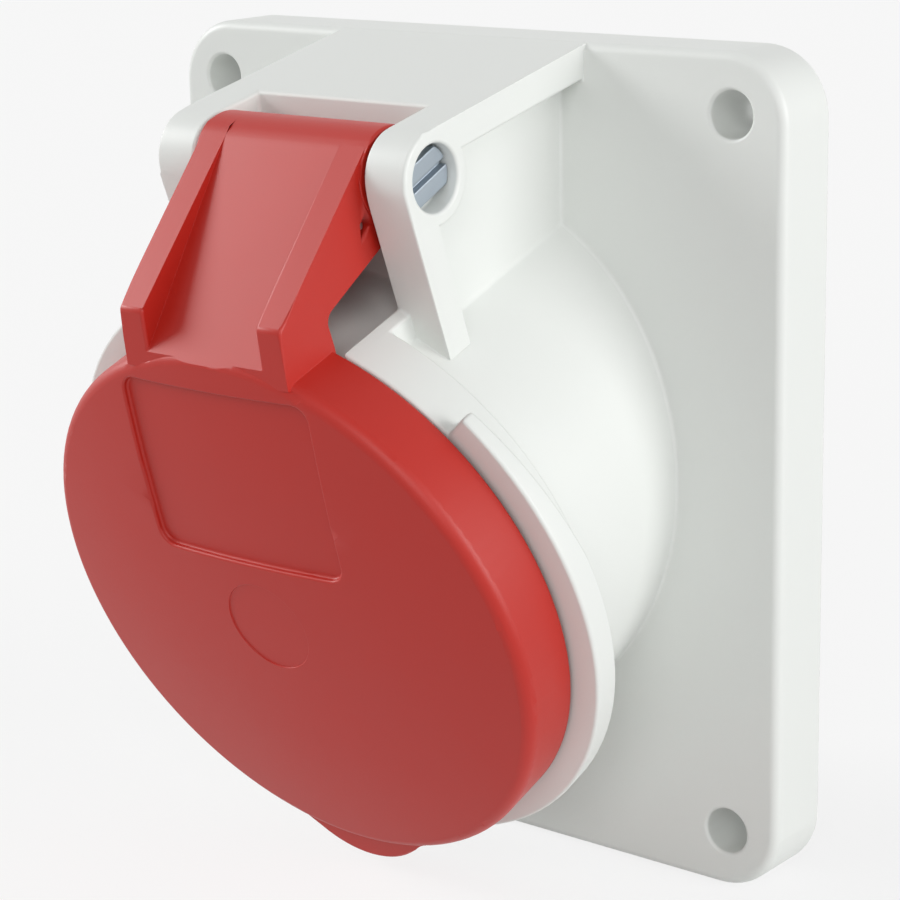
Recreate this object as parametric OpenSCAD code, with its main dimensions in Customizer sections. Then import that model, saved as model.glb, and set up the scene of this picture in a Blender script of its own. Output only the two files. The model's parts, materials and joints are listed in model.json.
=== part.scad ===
/* [Flange] */
// Width of the flange
flange_w = 91; // [90:0.5:100]
// Height of the flange
flange_h = 99; // [98:0.5:110]
// Thickness of the flange, from its mounting face to its front face
flange_t = 9.5; // [8:0.25:11]
// Radius of the flange's corners
flange_corner_r = 8; // [5:0.5:9]
// Rounding of the flange's front edge
flange_edge_r = 1.2; // [0.6:0.1:2]
// Wall of the flange's front and of its rim
flange_wall = 3; // [2.5:0.1:3.5]
// Distance between the fixing holes, across
hole_spacing_x = 77; // [76:0.5:78]
// Distance between the fixing holes, upwards
hole_spacing_z = 85; // [83:0.5:87]
// Diameter of the fixing holes
hole_d = 5.5; // [4.5:0.1:6]
// Diameter of the bosses round the fixing holes
hole_boss_d = 10.5; // [10:0.5:12]

/* [Body] */
// Downward tilt of the socket's axis
tilt = 20; // [15:1:22]
// Height at which the socket's axis crosses the flange's front face
axis_z = -1; // [-3:0.5:2]
// Outer radius of the round body
body_r = 31.4; // [31:0.1:32]
// Radius of the bore that takes a plug's shroud
bore_r = 29.4; // [29.2:0.1:29.8]
// Distance from the flange's front face to the collar's front edge, along the axis
collar_front = 27.6; // [26:0.2:30]
// Outer radius of the collar
collar_r = 34; // [33.6:0.1:34.6]
// Length of the collar
collar_len = 6.6; // [5.5:0.1:8]
// Outer radius of the ring round the collar
ring_r = 37.6; // [36.5:0.1:38.5]
// Thickness of the ring
ring_len = 3.7; // [3:0.1:4.5]
// Angle from the top at which the ring starts on the right
ring_start = 47; // [40:1:60]
// Angle from the top at which the ring starts on the left
ring_end = 30; // [28:1:45]
// Slope by which the ring's back thins it towards the top
ring_slope = 5.6; // [3:0.1:6]
// Height above the socket's axis at which the ring starts to thin
ring_slope_t = 7; // [5:0.5:12]
// Distance behind the flange's front wall at which the top of the body ends
body_behind = 0.4; // [0.3:0.1:3]
// Width of the keyway at the bottom of the bore
keyway_w = 8; // [6:0.5:10]
// Depth of the keyway beyond the bore
keyway_depth = 2.4; // [1.5:0.1:2.8]
// Wall round the keyway
keyway_wall = 1.8; // [1.5:0.1:2.4]

/* [Hinge] */
// Hinge pin's distance in front of the flange's front face, along the axis
hinge_s = 12.2; // [11.8:0.1:13]
// Hinge pin's distance from the socket's axis
hinge_t = 45.4; // [44.5:0.1:46]
// Radius of the ears' noses and of the lid's barrel
ear_r = 5.4; // [5:0.1:5.8]
// Half the width between the ears
ear_gap_half = 12.7; // [12:0.1:13.5]
// Thickness of the ears' inner wall
ear_wall = 2.4; // [2:0.1:3]
// Height of the raised border on the ears' outer faces
border_h = 3.4; // [2.5:0.1:4]
// Width of the raised border
border_w = 3.9; // [3:0.1:4.5]
// Distance of the ears' feet from the socket's axis
ear_foot_t = 25.5; // [25:0.1:27]
// Slope of the hinge block's top, falling to the front
top_slope = 13; // [9:1:15]
// Distance from the flange's front face to the wall behind the lid's barrel
notch_depth = 21.1; // [20.5:0.1:21.3]
// Wall of the hinge block's top and back
block_wall = 2.4; // [2:0.1:3]
// Diameter of the hinge pin's shank
pin_d = 5; // [4:0.1:5.4]
// Diameter of the hinge pin's head
pin_head_d = 7.1; // [6.6:0.1:7.6]
// Thickness of the hinge pin's head
pin_head_len = 1.8; // [1.5:0.1:2]
// Depth at which the hinge pin's head sits below the ear's face
pin_head_sunk = 1.3; // [0.5:0.1:1.6]
// Radial clearance round the hinge pin's shank
pin_fit = 0.05; // [0.03:0.01:0.09]

/* [Lid] */
// Outer radius of the lid
lid_r = 34.4; // [34.2:0.1:35]
// Depth of the lid's rim
lid_rim = 8.3; // [7.5:0.1:10]
// Radius of the dome on the lid's front
lid_dome_r = 200; // [150:10:300]
// Rounding of the lid's front edge
lid_edge_r = 1.7; // [1:0.1:2.2]
// Wall of the lid
lid_wall = 2.4; // [2:0.1:2.8]
// Gap between the lid's rim and the collar's front edge
lid_gap = 0.45; // [0.3:0.05:0.8]
// Side gap between the lid's barrel and each ear
barrel_side_gap = 0.3; // [0.25:0.05:0.5]
// Half the width over the lid's two ribs
rib_half = 12.1; // [11.7:0.1:12.3]
// Thickness of the ribs
rib_w = 3.6; // [3:0.1:4]
// Distance of the ribs' front corner from the socket's axis
rib_front_t = 38.35; // [37.5:0.05:39.5]
// Distance of the ribs' foot on the lid's face from the socket's axis
rib_foot_t = 31.8; // [31.4:0.1:32.4]
// Distance by which the ribs' fronts lean back
rib_lean = 1.3; // [0.8:0.1:1.6]
// Rounding of the ribs' front corner
rib_corner_r = 1; // [0.5:0.1:1.4]
// Distance from the collar to the underside of the arm
arm_gap = 2.1; // [1.6:0.1:2.6]
// Wall of the plate between the ribs
arm_wall = 2.6; // [2:0.1:3]
// Distance from the socket's axis at which the plate meets the lid's face
plate_end_t = 33.3; // [32.8:0.1:33.6]
// Length of the slot for the lid spring's leg
leg_slot_len = 1.7; // [1.4:0.1:2]
// Height of the slot for the lid spring's leg
leg_slot_h = 1.6; // [1.3:0.1:1.8]
// Wall of the barrel round the lid's spring
barrel_wall = 1.2; // [1:0.1:1.4]
// Distance of the thumb tab's tip from the socket's axis
tab_tip = 37.5; // [36:0.1:39]
// Radius of the thumb tab's tip
tab_r = 12; // [8:0.5:13]
// Thickness of the thumb tab
tab_len = 3; // [2.5:0.1:4]
// Width of the label field
label_w = 27.8; // [20:0.2:30]
// Height of the label field
label_h = 21.5; // [15:0.5:22]
// Distance of the label field's lower edge from the lid's centre
label_low = 8.6; // [8:0.2:9]
// Depth of the label field
label_depth = 0.7; // [0.3:0.1:0.9]
// Radius of the shallow round field at the lid's centre
disc_field_r = 5.8; // [4:0.2:7]
// Depth of the shallow round field
disc_field_depth = 0.15; // [0.1:0.05:0.3]

/* [Lid spring] */
// Radius of the spring wire
spring_wire_r = 0.45; // [0.35:0.05:0.5]
// Number of turns of the spring
spring_turns = 12; // [6:1:16]

/* [Gaskets] */
// Width of the lid's gasket
lid_gasket_w = 4.4; // [3.6:0.1:4.6]
// Thickness of the lid's gasket
lid_gasket_t = 2.4; // [2:0.1:3]
// Gap between the lid's gasket and the collar
seal_gap = 0.1; // [0.05:0.05:0.2]
// Distance of the flange gasket from the flange's outline
flange_gasket_edge = 1.3; // [1.2:0.1:1.6]
// Width of the flange gasket
flange_gasket_w = 1.8; // [1.4:0.1:2]
// Thickness of the flange gasket
flange_gasket_t = 1.6; // [1:0.1:2]

/* [Contacts] */
// Diameter of a plug's phase and neutral pins
line_pin_d = 5; // [4.8:0.1:5.2]
// Diameter of a plug's earth pin
earth_pin_d = 7; // [6.8:0.1:7.2]
// Radial clearance of a plug's pin in its contact tube
contact_fit = 0.05; // [0.03:0.01:0.08]
// Wall of a contact tube
contact_wall = 1.2; // [1:0.1:1.4]
// Radius of the circle on which the contacts lie
contact_circle_r = 16.5; // [16:0.1:17]
// Depth of the bore in a contact tube
contact_bore_len = 24; // [20:0.5:26]
// Distance of the contact tubes' front end below the carrier's front face
contact_sunk = 5; // [4:0.5:7]
// Clearance round a plug's pin where it enters the carrier
entry_clearance = 0.4; // [0.2:0.1:0.6]
// Widening of that entry towards the carrier's front face
entry_flare = 0.7; // [0.3:0.1:1]
// Width of the slot in a contact tube
contact_slot = 0.8; // [0.6:0.1:1]
// Angle of that slot from the line to the socket's axis
contact_slot_turn = 30; // [28:1:32]
// Thickness of a sleeve spring
sleeve_spring_t = 0.5; // [0.3:0.05:0.6]
// Length of a sleeve spring
sleeve_spring_len = 4; // [3:0.5:5]
// Diameter of a terminal screw
terminal_screw_d = 4; // [3.5:0.1:4]
// Diameter of the hole for a wire
wire_hole_d = 3.4; // [3:0.1:3.5]

/* [Carriers] */
// Radius of the contact carrier's front part
insert_r = 24.6; // [24.4:0.1:24.8]
// Distance of the contact carrier's front face below the collar's front edge
insert_sunk = 2.6; // [2:0.1:4]
// Thickness of the base plate that closes the body's back
base_t = 3; // [2.5:0.1:4]
// Radius of the terminal carrier
terminal_carrier_r = 27; // [26.5:0.1:28]
// Length of the terminal carrier
terminal_carrier_len = 15; // [14:0.5:18]
// Distance of the carrier screws from the socket's axis
carrier_screw_x = 34.8; // [34.6:0.1:35.2]
// Diameter of the carrier screws
carrier_screw_d = 3; // [2.5:0.1:3.5]
// Length of the carrier screws in the housing
carrier_screw_grip = 6; // [4:0.5:6.5]
// Wall round the carrier screws
screw_boss_wall = 2.2; // [1.8:0.1:2.6]
// Diameter of the well for the middle screw in the terminal carrier
core_d = 9.6; // [8:0.2:9.8]

/* [Hidden] */
$fn = 96;
eps = 0.01;
far = 200;
light_grey = [0.86, 0.87, 0.86];
lid_red = [0.72, 0.14, 0.1];

// Contacts are numbered from 0: phases 1 to 3, neutral and earth
contact_count = 5;
contact_step = 360 / contact_count;

function clock_angle(i) = -90 - contact_step * (i + 1);
function pin_diameter(i) = i == contact_count - 1 ? earth_pin_d : line_pin_d;
function tube_bore_r(i) = pin_diameter(i) / 2 + contact_fit;
function tube_r(i) = tube_bore_r(i) + contact_wall;

// Distance along the socket's axis of a plane parallel to the flange, at distance t from the axis
function along_axis(depth, t) = (depth - t * sin(tilt)) / cos(tilt);

// Point on the circle c, r where the line through p outside it touches it, on the given side
function touch_point(c, r, p, side) =
    let (d = norm(p - c), a = atan2(p[1] - c[1], p[0] - c[0]) + side * acos(r / d))
    c + r * [cos(a), sin(a)];

// Points of a corner rounded to radius r, between the points before and after it
function rounded_corner(before, corner, after, r, steps = 6) =
    let (
        u = (before - corner) / norm(before - corner),
        v = (after - corner) / norm(after - corner),
        half = acos(u * v) / 2,
        mid = (u + v) / norm(u + v),
        centre = corner + mid * r / sin(half),
        start = corner + u * r / tan(half) - centre,
        sweep = 180 - 2 * half,
        turn = cross(start, corner - centre) > 0 ? 1 : -1
    )
    [for (k = [0:steps]) let (a = turn * sweep * k / steps)
        centre + [start[0] * cos(a) - start[1] * sin(a), start[0] * sin(a) + start[1] * cos(a)]];

// Outline whose points [x, y, radius] are rounded
function rounded_outline(pts) =
    [for (i = [0:len(pts) - 1])
        let (n = len(pts), p = pts[i], b = pts[(i + n - 1) % n], a = pts[(i + 1) % n])
        each (p[2] > 0 ? rounded_corner([b[0], b[1]], [p[0], p[1]], [a[0], a[1]], p[2]) : [[p[0], p[1]]])];

// Collar, ring and lid, along the socket's axis from the flange's front face
collar_back = collar_front - collar_len;
ring_back = collar_front - ring_len;
rim_back = collar_front + lid_gap;
dome_centre = rim_back + lid_rim - sqrt(pow(lid_dome_r, 2) - pow(lid_r - lid_edge_r, 2));
lid_crown = dome_centre + lid_dome_r;
edge_centre = dome_centre + sqrt(pow(lid_dome_r - lid_edge_r, 2) - pow(lid_r - lid_edge_r, 2));
edge_touch_r = (lid_r - lid_edge_r) * lid_dome_r / (lid_dome_r - lid_edge_r);
seal_front = collar_front + seal_gap;
seal_back = seal_front + lid_gasket_t;
gasket_inner_r = lid_r - lid_wall / 2 - lid_gasket_w;
gasket_outer_r = lid_r - lid_wall / 2;

// Distance along the axis of the lid's face, at radius r
function dome_height(r) = dome_centre + sqrt(pow(lid_dome_r, 2) - pow(r, 2));

// Width of the flange's rim, which holds its gasket
flange_rim = flange_gasket_edge + flange_gasket_w + 1;

// Hinge, in the socket's frame: s along the axis, t upwards across it
hinge = [hinge_s, hinge_t];
ear_out = ear_gap_half + ear_wall + border_h;
panel_x = ear_gap_half + ear_wall;
ear_front = hinge_s + ear_r;
top_angle = tilt - top_slope;
top_touch = hinge + ear_r * [-sin(top_angle), cos(top_angle)];
lip_w = 1.6;
block_root = 0.6;
arm_under_t = collar_r + arm_gap;
valley_end = [dome_height(plate_end_t), plate_end_t];
rib_foot = [dome_height(norm([rib_half, rib_foot_t])), rib_foot_t];
rib_front = [rib_foot[0] - rib_lean, rib_front_t];
arm_back = rim_back - 0.3;
crest_touch = touch_point(hinge, ear_r, rib_front, 1);
valley_touch = touch_point(hinge, ear_r, valley_end, 1);
under_touch = touch_point(hinge, ear_r, [arm_back, arm_under_t], -1);
barrel_half = ear_gap_half - barrel_side_gap;
rib_inner = rib_half - rib_w;
spring_pocket_r = ear_r - barrel_wall;
coil_r = pin_d / 2 + 0.2 + spring_wire_r;
leg_s = hinge_s + ear_r + leg_slot_len / 2;
leg_t = hinge_t - coil_r;
leg_short = 0.5;
pin_hole_r = pin_d / 2 + pin_fit;
head_clearance = 0.25;
head_seat_x = ear_out - pin_head_sunk - pin_head_len;
pin_end_x = -(ear_gap_half + 3.6);

// Carriers, along the socket's axis
base_front = along_axis(-flange_wall - body_behind, body_r);
base_back = base_front - base_t;
terminal_back = base_back - terminal_carrier_len;
insert_front = collar_front - insert_sunk;
contact_front = insert_front - contact_sunk;
terminal_r = 5.4;
terminal_gap = 0.15;
terminal_len = 11;
collar_flange_t = 1.4;
terminal_front = base_back - collar_flange_t;
terminal_screw_z = terminal_front - terminal_len / 2;
screw_slot = 0.8;
screw_run_out = 0.5;
lug_t = base_t;

// Things drawn inside are in the socket's frame: z along the axis, y up across it
module in_socket() {
    translate([0, -flange_t, axis_z]) rotate([90 + tilt, 0, 0]) children();
}

// An outline drawn in s and t, from x0 to x1
module side_profile(x0, x1) {
    translate([x1, 0, 0]) rotate([0, -90, 0]) linear_extrude(x1 - x0) children();
}

// A rounded rectangle standing in the flange's plane, from depth y0 to y1 in front of the mounting face
module upright_plate(w, h, r, y0, y1) {
    translate([0, -y0, 0]) rotate([90, 0, 0]) linear_extrude(y1 - y0) {
        square([w - 2 * r, h], center = true);
        square([w, h - 2 * r], center = true);
        for (x = [-1, 1], z = [-1, 1]) translate([x * (w / 2 - r), z * (h / 2 - r)]) circle(r);
    }
}

// Section through the flange's rim, from a corner's centre outwards, with its rounded front edge
module rim_section() {
    square([flange_corner_r - flange_edge_r, flange_t]);
    square([flange_corner_r, flange_t - flange_edge_r]);
    translate([flange_corner_r - flange_edge_r, flange_t - flange_edge_r]) circle(flange_edge_r, $fn = 48);
}

// The flange's outer form: a middle part, four sides and four corners
module flange_block() {
    mid_w = flange_w - 2 * flange_corner_r;
    mid_h = flange_h - 2 * flange_corner_r;
    rotate([90, 0, 0]) {
        translate([-mid_w / 2, -mid_h / 2, 0]) cube([mid_w, mid_h, flange_t]);
        for (side = [0, 1]) mirror([side, 0, 0]) translate([mid_w / 2, mid_h / 2, 0]) {
            rotate([90, 0, 0]) linear_extrude(mid_h) rim_section();
            rotate_extrude(angle = 90) rim_section();
            translate([0, -mid_h, 0]) rotate([0, 0, -90]) rotate_extrude(angle = 90) rim_section();
        }
        for (side = [0, 1]) mirror([0, side, 0]) translate([-mid_w / 2, mid_h / 2, 0]) {
            rotate([90, 0, 90]) linear_extrude(mid_w) rim_section();
        }
    }
}

// The hollow behind the flange's front wall, inside its rim
module flange_hollow() {
    inside_w = flange_w - 2 * flange_rim;
    inside_h = flange_h - 2 * flange_rim;
    upright_plate(inside_w, inside_h, flange_corner_r - flange_rim / 2, -1, flange_t - flange_wall);
}

module at_fixing_holes() {
    for (x = [-1, 1], z = [-1, 1]) translate([x * hole_spacing_x / 2, 0, z * hole_spacing_z / 2]) children();
}

// Point [s, t] at the given depth in front of the flange's front face, on a line below the hinge block's top
function top_point(depth, below) =
    let (
        k = tan(top_angle),
        t0 = top_touch[1] - top_touch[0] * k - below / cos(top_angle),
        s = (depth - t0 * sin(tilt)) / (cos(tilt) + k * sin(tilt))
    )
    [s, t0 + s * k];

// Side outline of the whole hinge block with its ears
module block_outline() {
    circle_at_hinge(ear_r);
    polygon([
        [along_axis(-block_root, ear_foot_t), ear_foot_t],
        top_point(-block_root, 0),
        top_touch,
        hinge,
        [ear_front, hinge_t],
        [ear_front, ear_foot_t]
    ]);
}

module circle_at_hinge(r) {
    translate(hinge) circle(r);
}

// Raised border on an ear's outer face
module border_outline() {
    circle_at_hinge(ear_r);
    polygon([
        top_point(-block_root, 0),
        top_touch,
        hinge,
        top_touch + border_w * [sin(top_angle), -cos(top_angle)],
        top_point(-block_root, border_w)
    ]);
    polygon([[ear_front, hinge_t], [ear_front, ear_foot_t], [ear_front - border_w, ear_foot_t],
        [ear_front - border_w, hinge_t]]);
}

// The space of the lid's barrel and arm between the ears
module notch_outline() {
    polygon([
        [along_axis(notch_depth, body_r - 4), body_r - 4],
        [along_axis(notch_depth, far), far],
        [far, far],
        [far, body_r - 4]
    ]);
}

// The hollow inside the hinge block, open to the flange's back
module block_hollow_outline() {
    wall_depth = notch_depth - block_wall;
    low = body_r - 4;
    polygon([
        [along_axis(-flange_t - 1, low), low],
        top_point(-flange_t - 1, block_wall),
        top_point(wall_depth, block_wall),
        [along_axis(wall_depth, low), low]
    ]);
}

// The hollow of the hinge block, kept above the round body and below the flange's rim
module block_hollow() {
    difference() {
        intersection() {
            in_socket() side_profile(-ear_gap_half, ear_gap_half) block_hollow_outline();
            translate([-far / 2, -far / 2, 0]) cube([far, far, flange_h / 2 - flange_rim]);
        }
        in_socket() translate([0, 0, -far / 2]) cylinder(r = body_r, h = far);
    }
}

module hinge_block() {
    difference() {
        side_profile(-panel_x, panel_x) block_outline();
        side_profile(-ear_gap_half, ear_gap_half) notch_outline();
    }
    for (side = [0, 1]) mirror([side, 0, 0]) side_profile(panel_x - eps, ear_out) border_outline();
}

// Sector of the ring that is left out at the top, seen along the axis
module ring_gap() {
    polygon([[0, 0], far * [sin(ring_start), cos(ring_start)], [0, far], far * [-sin(ring_end), cos(ring_end)]]);
}

// Wedge behind the ring that thins it towards the top
module ring_thinning() {
    rise = ring_r * tan(ring_slope);
    side_profile(-ring_r, ring_r) polygon([
        [ring_back - 1, ring_slope_t],
        [ring_back, ring_slope_t],
        [ring_back + rise, ring_slope_t + ring_r],
        [ring_back - 1, ring_slope_t + ring_r]
    ]);
}

module collar() {
    lip_out = ear_gap_half + lip_w;
    difference() {
        union() {
            translate([0, 0, collar_back]) cylinder(r = collar_r, h = collar_len);
            intersection() {
                translate([0, 0, ear_front - eps]) cylinder(r = collar_r, h = collar_back - ear_front + 2 * eps);
                translate([-lip_out, 0, 0]) cube([2 * lip_out, far, far]);
            }
            difference() {
                translate([0, 0, ring_back]) cylinder(r = ring_r, h = ring_len);
                translate([0, 0, ring_back - 1]) linear_extrude(ring_len + 2) ring_gap();
                ring_thinning();
            }
        }
        translate([-ear_gap_half, 0, 0]) cube([2 * ear_gap_half, far, far]);
    }
}

module at_carrier_screws(places = [-1, 1]) {
    for (x = places) translate([x * carrier_screw_x, 0, 0]) children();
}

module keyway() {
    translate([-keyway_w / 2, -bore_r - keyway_depth, base_front - 1]) cube([keyway_w, bore_r, far]);
}

// Rib under the body that keeps a wall round the keyway
module keyway_rib() {
    w = keyway_w + 2 * keyway_wall;
    translate([-w / 2, -bore_r - keyway_depth - keyway_wall, base_front]) {
        cube([w, bore_r / 2, collar_front - base_front]);
    }
}

module housing() {
    color(light_grey) difference() {
        union() {
            difference() {
                flange_block();
                flange_hollow();
            }
            at_fixing_holes() rotate([90, 0, 0]) cylinder(d = hole_boss_d, h = flange_t - eps);
            in_socket() {
                hinge_block();
                translate([0, 0, base_front]) cylinder(r = body_r, h = collar_front - base_front);
                collar();
                keyway_rib();
                at_carrier_screws() translate([0, 0, base_front]) {
                    cylinder(d = carrier_screw_d + 2 * screw_boss_wall, h = along_axis(-flange_wall / 2, 0) - base_front);
                }
            }
        }
        at_fixing_holes() rotate([90, 0, 0]) translate([0, 0, -1]) cylinder(d = hole_d, h = flange_t + 2);
        block_hollow();
        gasket_ring(-1, 0.1);
        in_socket() {
            translate([0, 0, base_front - 1]) cylinder(r = bore_r, h = far);
            keyway();
            at_carrier_screws() translate([0, 0, base_front - eps]) {
                cylinder(d = carrier_screw_d + 2 * pin_fit, h = carrier_screw_grip + screw_run_out);
            }
            translate([pin_end_x - pin_fit, hinge_t, hinge_s]) rotate([0, 90, 0]) cylinder(r = pin_hole_r, h = far);
            translate([head_seat_x, hinge_t, hinge_s]) rotate([0, 90, 0]) {
                cylinder(r = pin_head_d / 2 + head_clearance, h = far);
            }
        }
    }
}

// Ring that runs round the flange's back from depth y0, widened by the given clearance
module gasket_ring(y0, clearance) {
    edge = flange_gasket_edge - clearance;
    inner = flange_gasket_edge + flange_gasket_w + clearance;
    difference() {
        upright_plate(flange_w - 2 * edge, flange_h - 2 * edge, flange_corner_r - edge, y0, flange_gasket_t);
        upright_plate(flange_w - 2 * inner, flange_h - 2 * inner, flange_corner_r - inner, -2, flange_gasket_t + 1);
    }
}

module flange_gasket() {
    color([0.15, 0.15, 0.15]) gasket_ring(0, 0);
}

module at_contact(i) {
    rotate([0, 0, clock_angle(i)]) translate([contact_circle_r, 0, 0]) children();
}

// Lugs at the sides of a carrier, for the carrier screws
module carrier_lugs(z, t) {
    lug_r = carrier_screw_d / 2 + screw_boss_wall;
    translate([0, 0, z]) {
        at_carrier_screws() cylinder(r = lug_r, h = t);
        translate([-carrier_screw_x, -lug_r, 0]) cube([2 * carrier_screw_x, 2 * lug_r, t]);
    }
}

module carrier_screw_holes() {
    hole_end = base_front + carrier_screw_grip + screw_run_out;
    at_carrier_screws([-1, 0, 1]) translate([0, 0, terminal_back - 1]) {
        cylinder(d = carrier_screw_d + 2 * pin_fit, h = hole_end - terminal_back + 1);
    }
}

module contact_carrier() {
    pocket_front = contact_front + terminal_gap;
    color([0.22, 0.23, 0.25]) in_socket() difference() {
        translate([0, 0, base_front]) cylinder(r = insert_r, h = insert_front - base_front);
        for (i = [0:contact_count - 1]) at_contact(i) {
            translate([0, 0, base_front - 1]) {
                cylinder(r = tube_r(i) + sleeve_spring_t + terminal_gap, h = pocket_front - base_front + 1);
            }
            translate([0, 0, pocket_front - eps]) cylinder(
                r1 = pin_diameter(i) / 2 + entry_clearance,
                r2 = pin_diameter(i) / 2 + entry_clearance + entry_flare,
                h = insert_front - pocket_front + 2 * eps
            );
        }
        carrier_screw_holes();
    }
}

// Plate that closes the body's back and holds the contact tubes by their collars
module base_plate() {
    color([0.2, 0.21, 0.22]) in_socket() difference() {
        union() {
            translate([0, 0, base_back]) cylinder(r = body_r, h = base_t);
            carrier_lugs(base_back, base_t);
        }
        for (i = [0:contact_count - 1]) at_contact(i) {
            translate([0, 0, base_back - 1]) cylinder(r = tube_r(i) + pin_fit, h = base_t + 2);
        }
        carrier_screw_holes();
    }
}

module terminal_carrier() {
    color([0.2, 0.2, 0.22]) in_socket() difference() {
        union() {
            translate([0, 0, terminal_back]) cylinder(r = terminal_carrier_r, h = terminal_carrier_len);
            carrier_lugs(base_back - lug_t, lug_t);
        }
        for (i = [0:contact_count - 1]) at_contact(i) {
            translate([0, 0, terminal_front - terminal_len - terminal_gap]) {
                cylinder(r = terminal_r + terminal_gap, h = far / 2);
            }
            translate([0, 0, terminal_back - 1]) cylinder(d = wire_hole_d + 2, h = terminal_carrier_len);
            translate([0, 0, terminal_screw_z]) rotate([0, 90, 0]) cylinder(d = terminal_screw_d + 1, h = far);
        }
        translate([0, 0, terminal_back - 1]) cylinder(d = core_d, h = terminal_carrier_len - lug_t + 1);
        carrier_screw_holes();
    }
}

// Contact tube with its collar and its terminal
module contact(i) {
    terminal_back_z = terminal_front - terminal_len;
    color([0.85, 0.72, 0.42]) in_socket() at_contact(i) difference() {
        rotate([0, 0, contact_slot_turn]) difference() {
            union() {
                translate([0, 0, base_back]) cylinder(r = tube_r(i), h = contact_front - base_back);
                translate([0, 0, terminal_back_z]) cylinder(r = terminal_r, h = base_back - terminal_back_z);
            }
            translate([0, 0, contact_front - contact_bore_len]) cylinder(r = tube_bore_r(i), h = far);
            translate([-far / 2, -contact_slot / 2, contact_front - contact_bore_len / 2]) {
                cube([far, contact_slot, far]);
            }
            translate([0, 0, terminal_back_z - 1]) cylinder(d = wire_hole_d, h = terminal_len);
        }
        translate([0, 0, terminal_screw_z]) rotate([0, 90, 0]) {
            cylinder(d = terminal_screw_d + 2 * pin_fit, h = far);
        }
    }
}

module contact_l1() {
    contact(0);
}

module contact_l2() {
    contact(1);
}

module contact_l3() {
    contact(2);
}

module contact_neutral() {
    contact(3);
}

module contact_earth() {
    contact(4);
}

// Split ring that closes the slotted end of a contact tube
module sleeve_spring(i) {
    color([0.7, 0.71, 0.73]) in_socket() at_contact(i) {
        translate([0, 0, contact_front - 1 - sleeve_spring_len]) difference() {
            cylinder(r = tube_r(i) + sleeve_spring_t, h = sleeve_spring_len);
            translate([0, 0, -1]) cylinder(r = tube_r(i) + pin_fit / 5, h = sleeve_spring_len + 2);
            translate([0, -contact_slot, -1]) cube([far, 2 * contact_slot, sleeve_spring_len + 2]);
        }
    }
}

module sleeve_spring_l1() {
    sleeve_spring(0);
}

module sleeve_spring_l2() {
    sleeve_spring(1);
}

module sleeve_spring_l3() {
    sleeve_spring(2);
}

module sleeve_spring_neutral() {
    sleeve_spring(3);
}

module sleeve_spring_earth() {
    sleeve_spring(4);
}

module terminal_screws() {
    tip = wire_hole_d / 2 + 0.2;
    color([0.75, 0.76, 0.78]) in_socket() for (i = [0:contact_count - 1]) at_contact(i) {
        translate([0, 0, terminal_screw_z]) rotate([0, 90, 0]) difference() {
            translate([0, 0, tip]) cylinder(d = terminal_screw_d, h = terminal_carrier_r - contact_circle_r - tip - 1);
            translate([-screw_slot / 2, -far / 2, terminal_carrier_r - contact_circle_r - 2]) {
                cube([screw_slot, far, far]);
            }
        }
    }
}

module carrier_screws() {
    head_r = carrier_screw_d * 0.9;
    head_t = carrier_screw_d * 0.7;
    under_head = base_back - lug_t;
    color([0.75, 0.76, 0.78]) in_socket() at_carrier_screws([-1, 0, 1]) difference() {
        union() {
            translate([0, 0, under_head]) cylinder(d = carrier_screw_d, h = lug_t + base_t + carrier_screw_grip);
            translate([0, 0, under_head - head_t]) cylinder(r = head_r, h = head_t);
        }
        translate([-far / 2, -screw_slot / 2, under_head - head_t - 1]) cube([far, screw_slot, head_t / 2 + 1]);
    }
}

module hinge_pin() {
    flat_half = pin_head_d * 0.34;
    slot_turn = 5;
    color([0.55, 0.6, 0.65]) in_socket() translate([0, hinge_t, hinge_s]) rotate([0, 90, 0]) difference() {
        union() {
            translate([0, 0, pin_end_x]) cylinder(d = pin_d, h = head_seat_x - pin_end_x + eps);
            translate([0, 0, head_seat_x]) intersection() {
                cylinder(d = pin_head_d, h = pin_head_len);
                rotate([0, 0, slot_turn]) translate([-far / 2, -flat_half, 0]) cube([far, 2 * flat_half, far]);
            }
        }
        rotate([0, 0, slot_turn]) translate([-far / 2, -screw_slot / 2, head_seat_x + pin_head_len / 2]) {
            cube([far, screw_slot, far]);
        }
    }
}

// Outline of the disc's section: rim, rounded edge and dome
module lid_section() {
    intersection() {
        union() {
            translate([0, rim_back]) square([lid_r, edge_centre - rim_back]);
            translate([0, rim_back]) square([edge_touch_r, far]);
            translate([lid_r - lid_edge_r, edge_centre]) circle(lid_edge_r);
        }
        translate([0, dome_centre]) circle(lid_dome_r, $fn = 720);
    }
}

// Thumb tab seen along the axis, with the hollows that blend it into the disc
module tab_shape() {
    blend_r = 4;
    low = tab_r - tab_tip;
    far_side = lid_r + blend_r;
    near_side = tab_r + blend_r;
    blend_y = (pow(far_side, 2) - pow(near_side, 2) + pow(low, 2)) / (2 * low);
    blend_x = sqrt(pow(far_side, 2) - pow(blend_y, 2));
    difference() {
        union() {
            translate([0, low]) circle(tab_r);
            polygon([[0, 0], [blend_x, blend_y], [0, low], [-blend_x, blend_y]]);
        }
        for (x = [-1, 1]) translate([x * blend_x, blend_y]) circle(blend_r);
    }
}

// Side outline of the lid's arm, up to the crest of its ribs
module arm_outline() {
    circle_at_hinge(ear_r);
    polygon(rounded_outline([
        [crest_touch[0], crest_touch[1], 0],
        [rib_front[0], rib_front[1], rib_corner_r],
        [rib_foot[0], rib_foot[1], 0],
        [rim_back + lid_rim / 2, lid_r - 2 * lid_wall, 0],
        [rim_back, lid_r - 2 * lid_wall, 0],
        [arm_back, lid_r - lid_wall, 0],
        [arm_back, arm_under_t, 1.5],
        [under_touch[0], under_touch[1], 0],
        [hinge_s, hinge_t, 0]
    ]));
}

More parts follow.
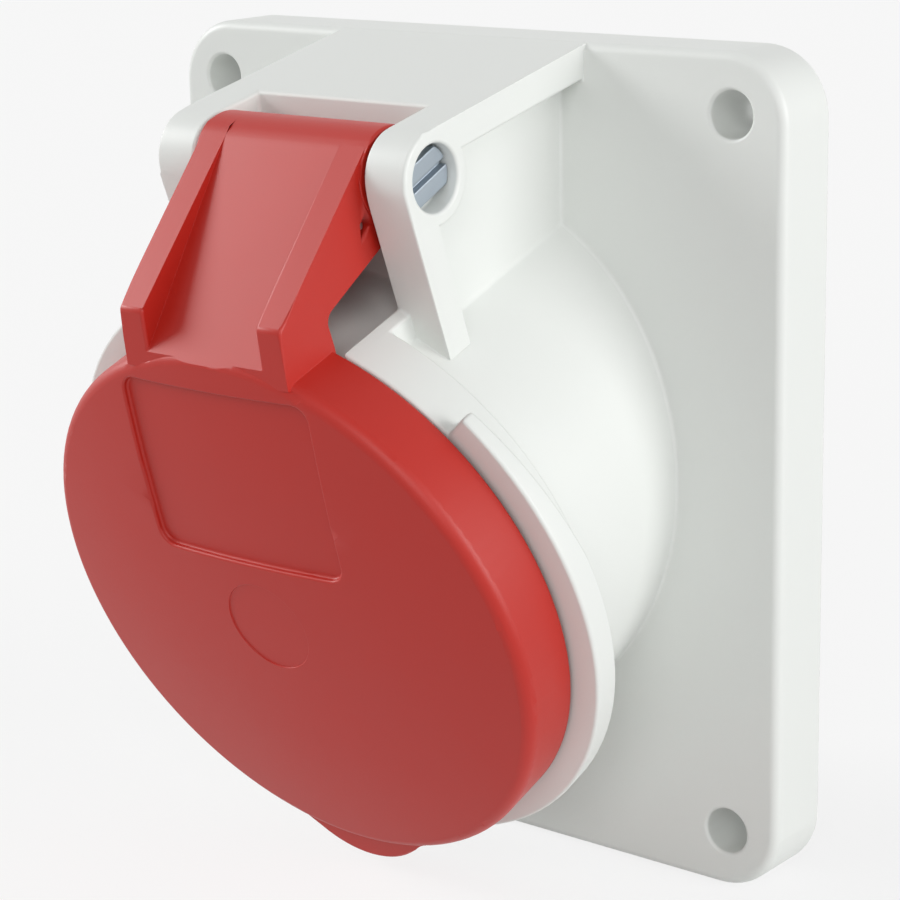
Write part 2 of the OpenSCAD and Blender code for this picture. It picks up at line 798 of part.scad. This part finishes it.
// Space above the plate between the ribs
module valley_outline() {
    reach = valley_end - valley_touch;
    difference() {
        polygon([hinge, valley_touch, valley_end + reach, valley_end + reach + [0, far], hinge + [0, far]]);
        circle_at_hinge(ear_r);
    }
}

// Slot through the right rib, for the end of the lid spring's leg
module leg_slot_outline() {
    crest = (rib_front - crest_touch) / norm(rib_front - crest_touch);
    across = leg_slot_len / crest[0] * crest / 2;
    up = [0, leg_slot_h / 2];
    middle = [leg_s, leg_t];
    polygon([middle - across - up, middle + across - up, middle + across + up, middle - across + up]);
}

// Hollow below the plate and round the spring
module arm_hollow_outline() {
    reach = valley_end - valley_touch;
    down = arm_wall * [reach[1], -reach[0]] / norm(reach);
    low = lid_r + 0.2;
    circle_at_hinge(spring_pocket_r);
    polygon([
        hinge + [0, -spring_pocket_r],
        hinge,
        valley_touch + down,
        valley_touch + down + reach * (1 - (low - valley_end[1] - down[1]) / (valley_touch[1] - valley_end[1])),
        [arm_back - 1, low],
        [arm_back - 1, arm_under_t - 1],
        [hinge_s, hinge_t - 2 * ear_r]
    ]);
}

module lid() {
    color(lid_red) in_socket() difference() {
        union() {
            translate([0, 0, edge_centre + lid_edge_r / 3 - tab_len]) linear_extrude(tab_len) tab_shape();
            difference() {
                union() {
                    rotate_extrude($fn = 144) lid_section();
                    side_profile(-rib_half, rib_half) arm_outline();
                }
                side_profile(-rib_inner, rib_inner) valley_outline();
                side_profile(-rib_inner, rib_inner) arm_hollow_outline();
                side_profile(0, far) leg_slot_outline();
            }
            for (side = [0, 1]) mirror([side, 0, 0]) {
                side_profile(rib_half - eps, barrel_half) circle_at_hinge(ear_r);
            }
        }
        translate([0, 0, rim_back - 2]) cylinder(r = gasket_outer_r, h = seal_back - rim_back + 2);
        difference() {
            translate([0, 0, rim_back - 2]) cylinder(r = gasket_inner_r - 0.4, h = far);
            rotate_extrude($fn = 144) difference() {
                translate([0, rim_back]) square([lid_r, far]);
                translate([0, dome_centre]) circle(lid_dome_r - lid_wall, $fn = 720);
            }
        }
        translate([0, hinge_t, hinge_s]) rotate([0, 90, 0]) cylinder(r = pin_hole_r, h = far, center = true);
        label_field();
        round_field();
    }
}

// Recess that follows the dome, inside the given outline
module dome_recess(depth) {
    intersection() {
        translate([0, 0, rim_back]) linear_extrude(far) children();
        rotate_extrude($fn = 144) difference() {
            translate([0, rim_back]) square([lid_r + 1, lid_crown - rim_back + 1]);
            translate([0, dome_centre]) circle(lid_dome_r - depth, $fn = 720);
        }
    }
}

module label_field() {
    r = 2;
    dome_recess(label_depth) polygon(rounded_outline([
        [-label_w / 2, label_low, r],
        [label_w / 2, label_low, r],
        [label_w / 2, label_low + label_h, r],
        [-label_w / 2, label_low + label_h, r]
    ]));
}

module round_field() {
    dome_recess(disc_field_depth) circle(disc_field_r);
}

module lid_gasket() {
    color([0.1, 0.1, 0.1]) in_socket() translate([0, 0, seal_front]) difference() {
        cylinder(r = gasket_outer_r - 0.1, h = lid_gasket_t);
        translate([0, 0, -1]) cylinder(r = gasket_inner_r, h = lid_gasket_t + 2);
    }
}

// Close-wound torsion spring round the hinge pin, with a bent leg that ends in the right rib's slot
module lid_spring() {
    pitch = 1.8 * spring_wire_r;
    coil_half = (spring_turns - 1) / 2 * pitch;
    color([0.6, 0.62, 0.64]) in_socket() translate([0, hinge_t, hinge_s]) rotate([0, 90, 0]) {
        rotate_extrude() for (k = [0:spring_turns - 1]) {
            translate([coil_r, k * pitch - coil_half]) circle(spring_wire_r, $fn = 32);
        }
        translate([0, -coil_r, coil_half]) rotate([0, -90, 0]) {
            cylinder(r = spring_wire_r, h = leg_s - hinge_s, $fn = 32);
        }
        translate([hinge_s - leg_s, -coil_r, coil_half - spring_wire_r]) {
            cylinder(r = spring_wire_r, h = rib_half - coil_half + spring_wire_r - leg_short, $fn = 32);
        }
    }
}

housing();
flange_gasket();
contact_carrier();
base_plate();
terminal_carrier();
contact_l1();
contact_l2();
contact_l3();
contact_neutral();
contact_earth();
sleeve_spring_l1();
sleeve_spring_l2();
sleeve_spring_l3();
sleeve_spring_neutral();
sleeve_spring_earth();
terminal_screws();
carrier_screws();
hinge_pin();
lid();
lid_gasket();
lid_spring();
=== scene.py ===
import json
import math

import bmesh
import bpy
from mathutils import Matrix, Vector
from mathutils.bvhtree import BVHTree


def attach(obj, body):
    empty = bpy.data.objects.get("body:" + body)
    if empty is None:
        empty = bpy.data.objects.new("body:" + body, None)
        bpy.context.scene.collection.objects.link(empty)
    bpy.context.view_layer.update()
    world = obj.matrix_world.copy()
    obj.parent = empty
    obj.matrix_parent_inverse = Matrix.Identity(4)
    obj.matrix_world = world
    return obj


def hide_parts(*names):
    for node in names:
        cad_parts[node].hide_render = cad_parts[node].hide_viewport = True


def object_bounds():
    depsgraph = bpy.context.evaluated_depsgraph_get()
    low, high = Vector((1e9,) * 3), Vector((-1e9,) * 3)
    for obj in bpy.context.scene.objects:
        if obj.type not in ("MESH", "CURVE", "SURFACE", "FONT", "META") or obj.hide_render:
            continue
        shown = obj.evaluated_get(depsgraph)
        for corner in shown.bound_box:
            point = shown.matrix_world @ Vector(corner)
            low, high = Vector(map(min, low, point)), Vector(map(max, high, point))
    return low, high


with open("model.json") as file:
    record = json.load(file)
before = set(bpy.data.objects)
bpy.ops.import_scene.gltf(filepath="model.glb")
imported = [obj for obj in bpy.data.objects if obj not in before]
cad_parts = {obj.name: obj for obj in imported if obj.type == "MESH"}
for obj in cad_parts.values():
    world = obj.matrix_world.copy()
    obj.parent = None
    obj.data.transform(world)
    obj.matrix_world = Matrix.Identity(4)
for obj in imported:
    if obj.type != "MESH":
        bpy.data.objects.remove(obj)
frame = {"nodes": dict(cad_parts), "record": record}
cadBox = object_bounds()
nodes = frame["nodes"]
scene = bpy.context.scene
mm = 0.001


# how a rounding finds its room on a solid's faces
roomRules = {
    "reach": 3.0,  # how far it looks, in widths
    "besideSharp": 0.45, "besideSoft": 0.9,  # shares of the room that it takes beside another edge
    "straightSharp": 150, "straightSoft": 120,  # past this turn, in degrees, a touching edge runs on
    "ahead": 0.6,  # how squarely another edge must lie in front of this one
}


def loopOf(edge, face):
    return next(loop for loop in edge.link_loops if loop.face == face)


def roomBeside(edge, face, reach, sharpEdges):
    loop = loopOf(edge, face)
    start = loop.vert.co
    end = loop.link_loop_next.vert.co
    along = (end - start).normalized()
    inward = face.normal.cross(along)
    before = loop.link_loop_prev
    after = loop.link_loop_next
    touching = {
        before.edge: (before.vert.co - start, along),
        after.edge: (after.link_loop_next.vert.co - end, -along),
    }
    room = reach
    for other in face.loops:
        rival = other.edge
        if rival == edge:
            continue
        sharp = rival in sharpEdges
        if rival in touching:
            away, back = touching[rival]
            if away.length < 1e-9 or away.dot(inward) <= 0:
                continue
            turn = away.angle(back)
            if sharp and turn < math.radians(roomRules["straightSharp"]):
                room = min(room, roomRules["besideSharp"] * away.length * math.tan(turn / 2))
            elif not sharp and turn < math.radians(roomRules["straightSoft"]):
                room = min(room, roomRules["besideSoft"] * away.length * math.sin(min(turn, math.pi / 2)))
            continue
        low = other.vert.co
        span = other.link_loop_next.vert.co - low
        for point in (start, (start + end) / 2, end):
            share = (point - low).dot(span) / max(span.length_squared, 1e-18)
            gap = low + span * max(0.0, min(1.0, share)) - point
            if 1e-9 < gap.length < reach and gap.dot(inward) > roomRules["ahead"] * gap.length:
                room = min(room, gap.length * roomRules["besideSharp" if sharp else "besideSoft"])
    return room


def edgeShares(shape, width, faintest, full):
    # share of the width that each sharp edge gets: less where it is faint or has little room
    paired = [edge for edge in shape.edges if len(edge.link_faces) == 2]
    bends = {edge: math.degrees(edge.calc_face_angle(0)) for edge in paired}
    sharpEdges = {edge: bend for edge, bend in bends.items() if bend > faintest}
    reach = width * roomRules["reach"]
    shares = {}
    for edge in sharpEdges:
        room = min(roomBeside(edge, face, reach, sharpEdges) for face in edge.link_faces)
        faint = (bends[edge] - faintest) / (full - faintest)
        shares[edge] = min(1.0, room / width) * min(1.0, faint)
    return shares


evening = {"sweeps": 12, "slope": 0.3}


def evenShares(shares, width):
    # a wide rounding runs out gently into a narrow one
    for sweep in range(evening["sweeps"]):
        for edge in shares:
            for vert in edge.verts:
                for near in vert.link_edges:
                    if near is not edge and near in shares:
                        step = evening["slope"] * (edge.calc_length() + near.calc_length()) / width
                        shares[edge] = min(shares[edge], shares[near] + step)


def roundedMesh(shape, shareLayer, shares, width, steps):
    for edge, share in shares.items():
        edge[shareLayer] = share
    mesh = bpy.data.meshes.new("edged")
    shape.to_mesh(mesh)
    edged = bpy.data.objects.new("edged", mesh)
    scene.collection.objects.link(edged)
    rounding = edged.modifiers.new("rounding", "BEVEL")
    rounding.width = width
    rounding.segments = steps
    rounding.limit_method = "WEIGHT"
    rounding.use_clamp_overlap = False
    rounding.loop_slide = False
    evaluated = edged.evaluated_get(bpy.context.evaluated_depsgraph_get())
    finished = bpy.data.meshes.new_from_object(evaluated)
    bpy.data.objects.remove(edged)
    bpy.data.meshes.remove(mesh)
    return finished


foldRules = {
    "smallest": 1e-10,  # faces below this area, in square metres, aren't looked at
    "nearest": 0.3 * mm,  # least distance within which the solid is looked for
    "turned": -0.2,  # a face whose normal agrees less than this with the solid's is folded
    "keeps": (0.5, 0.25, 0.0, 0.0),  # what each pass leaves of the shares near a fold
    "around": 2,  # how far from a fold the shares shrink, in widths
    "offEdge": 0.8,  # a corner farther than this from the solid, in widths, goes back to it
}


def foldedSpots(mesh, surface, width):
    # centres of faces that the rounding turned over or pulled off the solid
    spots = []
    mesh.calc_loop_triangles()
    for triangle in mesh.loop_triangles:
        if triangle.area < foldRules["smallest"]:
            continue
        centre = sum((mesh.vertices[i].co for i in triangle.vertices), Vector()) / 3
        near = surface.find_nearest_range(centre, max(width, foldRules["nearest"]))
        if not near or max(hit[1].dot(triangle.normal) for hit in near) < foldRules["turned"]:
            spots.append(centre)
    return spots


def nearSpot(edge, spots, reach):
    low, high = (vert.co for vert in edge.verts)
    span = high - low
    for spot in spots:
        share = max(0.0, min(1.0, (spot - low).dot(span) / max(span.length_squared, 1e-18)))
        if (low + span * share - spot).length < reach:
            return True
    return False


cleaning = {"weld": 1e-6, "flat": 0.5}  # in metres and degrees
bendLimits = {"faintest": 18, "full": 35, "crease": 40}  # in degrees


def roundedPiece(name, look, material):
    # a copy of the solid with rounded edges and filleted corners stands for it
    shape = bmesh.new()
    shape.from_mesh(nodes[name].data)
    shareLayer = shape.edges.layers.float.new("bevel_weight_edge")
    bmesh.ops.remove_doubles(shape, verts=shape.verts, dist=cleaning["weld"])
    flat = math.radians(cleaning["flat"])
    bmesh.ops.dissolve_limit(shape, angle_limit=flat, verts=shape.verts, edges=shape.edges)
    shape.normal_update()
    surface = BVHTree.FromBMesh(shape)
    width = look["edge"] * mm
    shares = edgeShares(shape, width, bendLimits["faintest"], bendLimits["full"])
    for keep in foldRules["keeps"]:
        evenShares(shares, width)
        finished = roundedMesh(shape, shareLayer, shares, width, look["steps"])
        spots = foldedSpots(finished, surface, width)
        if not spots:
            break
        for edge in shares:
            if nearSpot(edge, spots, foldRules["around"] * width):
                shares[edge] *= keep
    shape.free()
    for vert in finished.vertices:
        spot, normal, index, distance = surface.find_nearest(vert.co)
        if distance > width * foldRules["offEdge"]:
            vert.co = spot
    finished.name = name + "Mesh"
    finished.shade_smooth()
    finished.set_sharp_from_angle(angle=math.radians(bendLimits["crease"]))
    finished.materials.clear()
    finished.materials.append(material)
    piece = bpy.data.objects.new(name + "Piece", finished)
    scene.collection.objects.link(piece)
    shading = piece.modifiers.new("shading", "WEIGHTED_NORMAL")
    shading.keep_sharp = True
    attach(piece, bodyOf[name])
    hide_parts(name)
    print(name, "rounded:", len(finished.vertices), "points, folds left:", len(spots))


def addNode(tree, kind, place, settings=None, values=None):
    node = tree.nodes.new(kind)
    node.location = place
    for key, value in (settings or {}).items():
        setattr(node, key, value)
    for key, value in (values or {}).items():
        node.inputs[key].default_value = value
    return node


bodyOf = {name: body for body, names in frame["record"]["behaviour"]["bodies"].items() for name in names}
print("frame loaded:", len(nodes), "nodes")


def mouldGrainGroup():
    # fine moulded skin: colour drift, roughness drift and a height
    tree = bpy.data.node_groups.new("mouldGrain", "ShaderNodeTree")
    face = tree.interface
    for socketName, kind, value in (
        ("Colour", "NodeSocketColor", (0.8, 0.8, 0.8, 1)),
        ("Drift", "NodeSocketFloat", 0.03),
        ("Grain Scale", "NodeSocketFloat", 3000.0),
        ("Roughness", "NodeSocketFloat", 0.45),
        ("Roughness Drift", "NodeSocketFloat", 0.06),
    ):
        socket = face.new_socket(socketName, in_out="INPUT", socket_type=kind)
        socket.default_value = value
    face.new_socket("Colour", in_out="OUTPUT", socket_type="NodeSocketColor")
    face.new_socket("Roughness", in_out="OUTPUT", socket_type="NodeSocketFloat")
    face.new_socket("Height", in_out="OUTPUT", socket_type="NodeSocketFloat")
    enter = tree.nodes.new("NodeGroupInput")
    enter.location = (-900, 0)
    leave = tree.nodes.new("NodeGroupOutput")
    leave.location = (700, 0)
    link = tree.links.new
    place = addNode(tree, "ShaderNodeTexCoord", (-900, -300))
    grain = addNode(tree, "ShaderNodeTexNoise", (-600, -100), values={"Detail": 3.0, "Roughness": 0.6})
    cloudValues = {"Scale": 55.0, "Detail": 4.0, "Roughness": 0.55}
    cloud = addNode(tree, "ShaderNodeTexNoise", (-600, -400), values=cloudValues)
    link(place.outputs["Object"], grain.inputs["Vector"])
    link(place.outputs["Object"], cloud.inputs["Vector"])
    link(enter.outputs["Grain Scale"], grain.inputs["Scale"])
    centred = addNode(tree, "ShaderNodeMath", (-350, -400), {"operation": "SUBTRACT"})
    centred.inputs[1].default_value = 0.5
    link(cloud.outputs["Fac"], centred.inputs[0])
    speck = addNode(tree, "ShaderNodeMath", (-350, -100), {"operation": "SUBTRACT"})
    speck.inputs[1].default_value = 0.5
    link(grain.outputs["Fac"], speck.inputs[0])
    both = addNode(tree, "ShaderNodeMath", (-150, -250), {"operation": "ADD"})
    link(centred.outputs[0], both.inputs[0])
    link(speck.outputs[0], both.inputs[1])
    scaled = addNode(tree, "ShaderNodeMath", (50, -200), {"operation": "MULTIPLY_ADD"})
    link(both.outputs[0], scaled.inputs[0])
    link(enter.outputs["Drift"], scaled.inputs[1])
    scaled.inputs[2].default_value = 1.0
    shade = addNode(tree, "ShaderNodeVectorMath", (300, 100), {"operation": "SCALE"})
    link(enter.outputs["Colour"], shade.inputs[0])
    link(scaled.outputs[0], shade.inputs["Scale"])
    rough = addNode(tree, "ShaderNodeMath", (300, -150), {"operation": "MULTIPLY_ADD"})
    link(both.outputs[0], rough.inputs[0])
    link(enter.outputs["Roughness Drift"], rough.inputs[1])
    link(enter.outputs["Roughness"], rough.inputs[2])
    link(shade.outputs[0], leave.inputs["Colour"])
    link(rough.outputs[0], leave.inputs["Roughness"])
    link(grain.outputs["Fac"], leave.inputs["Height"])
    return tree


def turnedMetalGroup():
    # turned or drawn metal: fine lines round an axis, with a height
    tree = bpy.data.node_groups.new("turnedMetal", "ShaderNodeTree")
    face = tree.interface
    for socketName, kind, value in (
        ("Colour", "NodeSocketColor", (0.7, 0.7, 0.7, 1)),
        ("Line Scale", "NodeSocketFloat", 2500.0),
        ("Roughness", "NodeSocketFloat", 0.3),
        ("Tarnish", "NodeSocketFloat", 0.15),
    ):
        socket = face.new_socket(socketName, in_out="INPUT", socket_type=kind)
        socket.default_value = value
    face.new_socket("Colour", in_out="OUTPUT", socket_type="NodeSocketColor")
    face.new_socket("Roughness", in_out="OUTPUT", socket_type="NodeSocketFloat")
    face.new_socket("Height", in_out="OUTPUT", socket_type="NodeSocketFloat")
    enter = tree.nodes.new("NodeGroupInput")
    enter.location = (-900, 0)
    leave = tree.nodes.new("NodeGroupOutput")
    leave.location = (700, 0)
    link = tree.links.new
    place = addNode(tree, "ShaderNodeTexCoord", (-1100, -300))
    stretch = addNode(tree, "ShaderNodeMapping", (-900, -300))
    stretch.inputs["Scale"].default_value = (1.0, 0.12, 0.12)
    link(place.outputs["Object"], stretch.inputs["Vector"])
    lines = addNode(tree, "ShaderNodeTexNoise", (-600, -100), values={"Detail": 2.0})
    stain = addNode(tree, "ShaderNodeTexNoise", (-600, -400), values={"Scale": 180.0, "Detail": 4.0})
    link(stretch.outputs[0], lines.inputs["Vector"])
    link(place.outputs["Object"], stain.inputs["Vector"])
    link(enter.outputs["Line Scale"], lines.inputs["Scale"])
    dark = addNode(tree, "ShaderNodeMath", (-300, -400), {"operation": "MULTIPLY"})
    link(stain.outputs["Fac"], dark.inputs[0])
    link(enter.outputs["Tarnish"], dark.inputs[1])
    keep = addNode(tree, "ShaderNodeMath", (-100, -400), {"operation": "SUBTRACT"})
    keep.inputs[0].default_value = 1.0
    link(dark.outputs[0], keep.inputs[1])
    shade = addNode(tree, "ShaderNodeVectorMath", (300, 100), {"operation": "SCALE"})
    link(enter.outputs["Colour"], shade.inputs[0])
    link(keep.outputs[0], shade.inputs["Scale"])
    rough = addNode(tree, "ShaderNodeMath", (100, -150), {"operation": "ADD"})
    link(enter.outputs["Roughness"], rough.inputs[0])
    link(dark.outputs[0], rough.inputs[1])
    link(shade.outputs[0], leave.inputs["Colour"])
    link(rough.outputs[0], leave.inputs["Roughness"])
    link(lines.outputs["Fac"], leave.inputs["Height"])
    return tree


mouldGrain = mouldGrainGroup()
turnedMetal = turnedMetalGroup()
print("shared effects made")


def grainedMaterial(name, effect, look, sockets):
    # a shared effect gives the colour, the roughness and the height of the bump
    material = bpy.data.materials.new(name)
    material.use_nodes = True
    tree = material.node_tree
    shader = tree.nodes["Principled BSDF"]
    group = addNode(tree, "ShaderNodeGroup", (-500, 100), {"node_tree": effect})
    group.inputs["Colour"].default_value = (*look["colour"], 1)
    for socketName, key in sockets.items():
        group.inputs[socketName].default_value = look[key]
    bumpValues = {"Strength": look["bump"], "Distance": look["bumpDepth"]}
    bump = addNode(tree, "ShaderNodeBump", (-250, -200), values=bumpValues)
    tree.links.new(group.outputs["Colour"], shader.inputs["Base Color"])
    tree.links.new(group.outputs["Roughness"], shader.inputs["Roughness"])
    tree.links.new(group.outputs["Height"], bump.inputs["Height"])
    tree.links.new(bump.outputs["Normal"], shader.inputs["Normal"])
    return material, shader


def plastic(name, look):
    material, shader = grainedMaterial(name, mouldGrain, look, {
        "Drift": "drift", "Grain Scale": "grainScale",
        "Roughness": "roughness", "Roughness Drift": "roughnessDrift",
    })
    shader.inputs["IOR"].default_value = 1.5
    shader.inputs["Specular IOR Level"].default_value = look.get("specular", 0.5)
    return material


def metal(name, look):
    material, shader = grainedMaterial(name, turnedMetal, look, {
        "Line Scale": "lineScale", "Roughness": "roughness", "Tarnish": "tarnish",
    })
    shader.inputs["Metallic"].default_value = 1.0
    return material


housingPlastic = plastic("housingPlastic", {
    "colour": (0.77, 0.79, 0.765), "drift": 0.012, "grainScale": 2600.0,
    "roughness": 0.42, "roughnessDrift": 0.08, "bump": 0.12, "bumpDepth": 0.00002,
})
lidPlastic = plastic("lidPlastic", {
    "colour": (0.46, 0.014, 0.006), "drift": 0.05, "grainScale": 3400.0,
    "roughness": 0.44, "roughnessDrift": 0.08, "bump": 0.3, "bumpDepth": 0.00002,
})
carrierPlastic = plastic("carrierPlastic", {
    "colour": (0.045, 0.047, 0.05), "drift": 0.15, "grainScale": 2200.0,
    "roughness": 0.5, "roughnessDrift": 0.1, "bump": 0.35, "bumpDepth": 0.00003,
})
sealRubber = plastic("sealRubber", {
    "colour": (0.022, 0.022, 0.023), "drift": 0.25, "grainScale": 1800.0,
    "roughness": 0.72, "roughnessDrift": 0.15, "bump": 0.5, "bumpDepth": 0.00004, "specular": 0.35,
})
contactBrass = metal("contactBrass", {
    "colour": (0.83, 0.62, 0.3), "lineScale": 2600.0, "roughness": 0.2, "tarnish": 0.22,
    "bump": 0.25, "bumpDepth": 0.00001,
})
springSteel = metal("springSteel", {
    "colour": (0.6, 0.6, 0.61), "lineScale": 3000.0, "roughness": 0.22, "tarnish": 0.2,
    "bump": 0.2, "bumpDepth": 0.00001,
})
screwSteel = metal("screwSteel", {
    "colour": (0.68, 0.69, 0.7), "lineScale": 2200.0, "roughness": 0.28, "tarnish": 0.25,
    "bump": 0.25, "bumpDepth": 0.00001,
})
pinSteel = metal("pinSteel", {
    "colour": (0.46, 0.52, 0.58), "lineScale": 2600.0, "roughness": 0.34, "tarnish": 0.2,
    "bump": 0.3, "bumpDepth": 0.00001,
})
print("finishes made")


# the moulded and turned pieces, with the rounding of their edges in millimetres
socketPieces = {
    "housing": ({"edge": 0.45, "steps": 3}, housingPlastic),
    "flange_gasket": ({"edge": 0.25, "steps": 2}, sealRubber),
    "contact_carrier": ({"edge": 0.3, "steps": 2}, carrierPlastic),
    "base_plate": ({"edge": 0.3, "steps": 2}, carrierPlastic),
    "terminal_carrier": ({"edge": 0.3, "steps": 2}, carrierPlastic),
    "terminal_screws": ({"edge": 0.12, "steps": 2}, screwSteel),
    "carrier_screws": ({"edge": 0.15, "steps": 2}, screwSteel),
    "hinge_pin": ({"edge": 0.15, "steps": 2}, pinSteel),
}
lidPieces = {
    "lid": ({"edge": 0.4, "steps": 3}, lidPlastic),
    "lid_gasket": ({"edge": 0.3, "steps": 2}, sealRubber),
    "lid_spring": ({"edge": 0.05, "steps": 1}, springSteel),
}
for pole in ("l1", "l2", "l3", "neutral", "earth"):
    socketPieces["contact_" + pole] = ({"edge": 0.2, "steps": 2}, contactBrass)
    socketPieces["sleeve_spring_" + pole] = ({"edge": 0.1, "steps": 2}, springSteel)
for name, (look, material) in {**socketPieces, **lidPieces}.items():
    roundedPiece(name, look, material)
print("pieces dressed")


view = {
    "azimuth": 39.163, "elevation": 14.848, "roll": -1.256,
    "lens": 103.485, "place": (0.193855, -0.250514, 0.080574),
}


def addCamera():
    turn = math.radians(view["azimuth"])
    rise = math.radians(view["elevation"])
    roll = math.radians(view["roll"])
    back = Vector((math.sin(turn) * math.cos(rise), -math.cos(turn) * math.cos(rise), math.sin(rise)))
    side = Vector((math.cos(turn), math.sin(turn), 0.0))
    up = back.cross(side)
    right = math.cos(roll) * side + math.sin(roll) * up
    up = math.cos(roll) * up - math.sin(roll) * side
    data = bpy.data.cameras.new("camera")
    data.lens = view["lens"]
    data.sensor_width = 36.0
    data.clip_end = 50.0
    camera = bpy.data.objects.new("camera", data)
    scene.collection.objects.link(camera)
    turned = Matrix((right, up, back)).transposed().to_4x4()
    camera.matrix_world = Matrix.Translation(view["place"]) @ turned
    scene.camera = camera


def seenPlainly(tree, lit, plain, place):
    # mixes in the plain look wherever the surface is seen straight, in a reflection or through glass
    x, y = place
    path = addNode(tree, "ShaderNodeLightPath", (x - 600, y + 300))
    shiny = addNode(tree, "ShaderNodeMath", (x - 400, y + 300), {"operation": "MAXIMUM"})
    seen = addNode(tree, "ShaderNodeMath", (x - 200, y + 300), {"operation": "MAXIMUM"})
    mix = addNode(tree, "ShaderNodeMixShader", (x, y))
    tree.links.new(path.outputs["Is Glossy Ray"], shiny.inputs[0])
    tree.links.new(path.outputs["Is Transmission Ray"], shiny.inputs[1])
    tree.links.new(path.outputs["Is Camera Ray"], seen.inputs[0])
    tree.links.new(shiny.outputs[0], seen.inputs[1])
    tree.links.new(seen.outputs[0], mix.inputs[0])
    tree.links.new(lit, mix.inputs[1])
    tree.links.new(plain, mix.inputs[2])
    return mix.outputs[0]


floorLook = {"size": 8.0, "below": 0.0002, "colour": (0.8, 0.8, 0.8, 1), "glow": 0.8}
plainWhite = {"Color": (1, 1, 1, 1), "Strength": 1.0}


def addStage():
    low = cadBox[0][2] - floorLook["below"]
    half = floorLook["size"] / 2
    shape = bmesh.new()
    corners = ((-1, -1), (1, -1), (1, 1), (-1, 1))
    shape.faces.new([shape.verts.new((x * half, y * half, low)) for x, y in corners])
    mesh = bpy.data.meshes.new("floor")
    shape.to_mesh(mesh)
    shape.free()
    floor = bpy.data.objects.new("floor", mesh)
    scene.collection.objects.link(floor)
    material = bpy.data.materials.new("paleFloor")
    material.use_nodes = True
    tree = material.node_tree
    tree.nodes.clear()
    matt = addNode(tree, "ShaderNodeBsdfDiffuse", (0, 200), values={"Color": floorLook["colour"]})
    white = addNode(tree, "ShaderNodeEmission", (0, -200), values=plainWhite)
    veiled = addNode(tree, "ShaderNodeMixShader", (250, -50), values={0: floorLook["glow"]})
    tree.links.new(matt.outputs[0], veiled.inputs[1])
    tree.links.new(white.outputs[0], veiled.inputs[2])
    surface = addNode(tree, "ShaderNodeOutputMaterial", (900, 0))
    shown = seenPlainly(tree, matt.outputs[0], veiled.outputs[0], (600, 0))
    tree.links.new(shown, surface.inputs["Surface"])
    mesh.materials.append(material)


# soft lamps, turned round from the front and up from the floor, in degrees
lamps = {
    "left": {"turn": -72, "rise": 25, "spread": 25, "strength": 1.9},
    "frontRight": {"turn": 35, "rise": 25, "spread": 35, "strength": 0.8},
    "backRight": {"turn": 98, "rise": 12, "spread": 35, "strength": 1.9},
}


def addLamps():
    for name, lamp in lamps.items():
        data = bpy.data.lights.new(name, "SUN")
        data.energy = lamp["strength"]
        data.angle = math.radians(lamp["spread"])
        holder = bpy.data.objects.new(name, data)
        scene.collection.objects.link(holder)
        turn, rise = math.radians(lamp["turn"]), math.radians(lamp["rise"])
        away = Vector((math.sin(turn) * math.cos(rise), -math.cos(turn) * math.cos(rise), math.sin(rise)))
        holder.location = away
        holder.rotation_euler = (-away).to_track_quat("-Z", "Y").to_euler()


studioGlow = 0.3  # even light from all round


def addWorld():
    world = bpy.data.worlds.new("studio")
    scene.world = world
    world.use_nodes = True
    tree = world.node_tree
    tree.nodes.clear()
    softLight = {"Color": (1, 1, 1, 1), "Strength": studioGlow}
    soft = addNode(tree, "ShaderNodeBackground", (0, 200), values=softLight)
    white = addNode(tree, "ShaderNodeBackground", (0, -200), values=plainWhite)
    surface = addNode(tree, "ShaderNodeOutputWorld", (900, 0))
    shown = seenPlainly(tree, soft.outputs[0], white.outputs[0], (600, 0))
    tree.links.new(shown, surface.inputs["Surface"])


addCamera()
addStage()
addLamps()
addWorld()
scene.view_settings.view_transform = "Standard"
print("camera, floor and light set")
